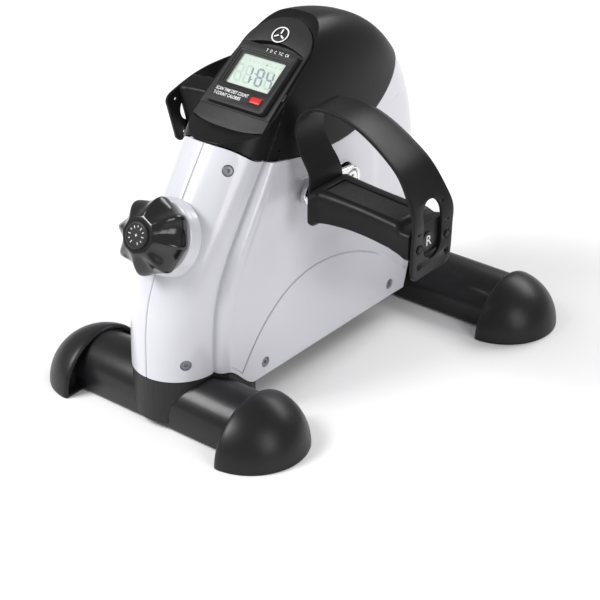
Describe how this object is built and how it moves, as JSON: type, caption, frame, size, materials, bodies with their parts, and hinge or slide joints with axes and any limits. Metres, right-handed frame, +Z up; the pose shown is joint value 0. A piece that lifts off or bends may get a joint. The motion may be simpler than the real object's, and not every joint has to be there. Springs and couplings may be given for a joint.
{
  "type": "pedal exerciser",
  "caption": "Under-desk pedal exerciser: strapped pedals on a braked crank, a tension knob, a slide-on counter and two foot bars with round end caps.",
  "frame": {"origin": "on the floor, midway between the two foot bars and on the plane where the housing halves meet", "axes": "+Z up, the user sits on the -Y side where the tension knob is, +X towards the right-hand pedal"},
  "size_m": [0.3608, 0.4, 0.3051],
  "materials": {
    "white_plastic": "gloss",
    "black_gloss": "semi-gloss",
    "black_satin": "satin",
    "black_rubber": "satin",
    "black_steel": "satin",
    "chrome": "polished",
    "bare_steel": "satin",
    "grey_plug": "satin",
    "felt": "matte",
    "brass": "satin",
    "lcd_green": "satin",
    "clear_lens": "clear",
    "circuit_green": "satin",
    "red_button": "gloss"
  },
  "bodies": {
    "base": {"housing_right": "white_plastic", "housing_left": "white_plastic", "housing_screw_low_front": "grey_plug", "housing_screw_low_rear": "grey_plug", "housing_screw_nose_top": "grey_plug", "housing_screw_nose_low": "grey_plug", "top_cover": "black_gloss", "console_front": "black_gloss", "console_holder": "black_satin", "console_back": "black_satin", "battery_door": "black_satin", "front_saddle": "black_satin", "rear_saddle": "black_satin", "reed_switch": "black_satin", "lcd_lens": "clear_lens", "lcd_panel": "lcd_green", "circuit_board": "circuit_green", "button_cell": "bare_steel", "bearing_right": "bare_steel", "bearing_left": "bare_steel", "front_bar_bolt_right": "bare_steel", "front_bar_bolt_left": "bare_steel", "rear_bar_bolt_right": "bare_steel", "rear_bar_bolt_left": "bare_steel", "front_foot_bar": "black_steel", "rear_foot_bar": "black_steel", "steel_frame": "black_steel", "front_cap_right": "black_rubber", "front_cap_left": "black_rubber", "rear_cap_right": "black_rubber", "rear_cap_left": "black_rubber", "brake_band": "felt"},
    "crank": {"crank_axle": "bare_steel", "brake_drum": "bare_steel", "crank_arm_right": "chrome", "crank_arm_left": "chrome", "crank_nut_right": "chrome", "crank_nut_left": "chrome", "pedal_spindle_right": "chrome", "pedal_spindle_left": "chrome", "speed_magnet": "bare_steel"},
    "pedal_right": {"pedal_right": "black_rubber", "pedal_tread_right": "black_rubber", "toe_strap_right": "black_rubber"},
    "pedal_left": {"pedal_left": "black_rubber", "pedal_tread_left": "black_rubber", "toe_strap_left": "black_rubber"},
    "tension_knob": {"tension_knob": "black_gloss", "knob_dial": "black_satin", "tension_rod": "bare_steel"},
    "tension_yoke": {"tension_yoke": "brass"},
    "reset_button": {"reset_button": "red_button"}
  },
  "joints": [
    {"name": "crank_turn", "type": "hinge", "parent": "base", "child": "crank", "pos_m": [0, 0.018, 0.167], "axis": [1, 0, 0], "continuous": true},
    {"name": "pedal_right_turn", "type": "hinge", "parent": "crank", "child": "pedal_right", "pos_m": [0.12, -0.03507, 0.17295], "axis": [1, 0, 0], "continuous": true},
    {"name": "pedal_left_turn", "type": "hinge", "parent": "crank", "child": "pedal_left", "pos_m": [-0.12, 0.07107, 0.16105], "axis": [1, 0, 0], "continuous": true},
    {"name": "tension_knob_turn", "type": "hinge", "parent": "base", "child": "tension_knob", "pos_m": [0, -0.156, 0.1635], "axis": [0, -0.9107, 0.4131], "range_deg": [-1440, 0]},
    {"name": "tension_yoke_travel", "type": "slide", "parent": "base", "child": "tension_yoke", "axis": [0, -0.9107, 0.4131], "range_m": [0, 0.0051]},
    {"name": "reset_button_press", "type": "slide", "parent": "base", "child": "reset_button", "axis": [0, 0.5864, -0.81], "range_m": [0, 0.001], "stiffness_N_per_m": 250}
  ],
  "couplings": [
    {"joint": "tension_yoke_travel", "follows": "tension_knob_turn", "m_per_rad": -0.00019894}
  ]
}
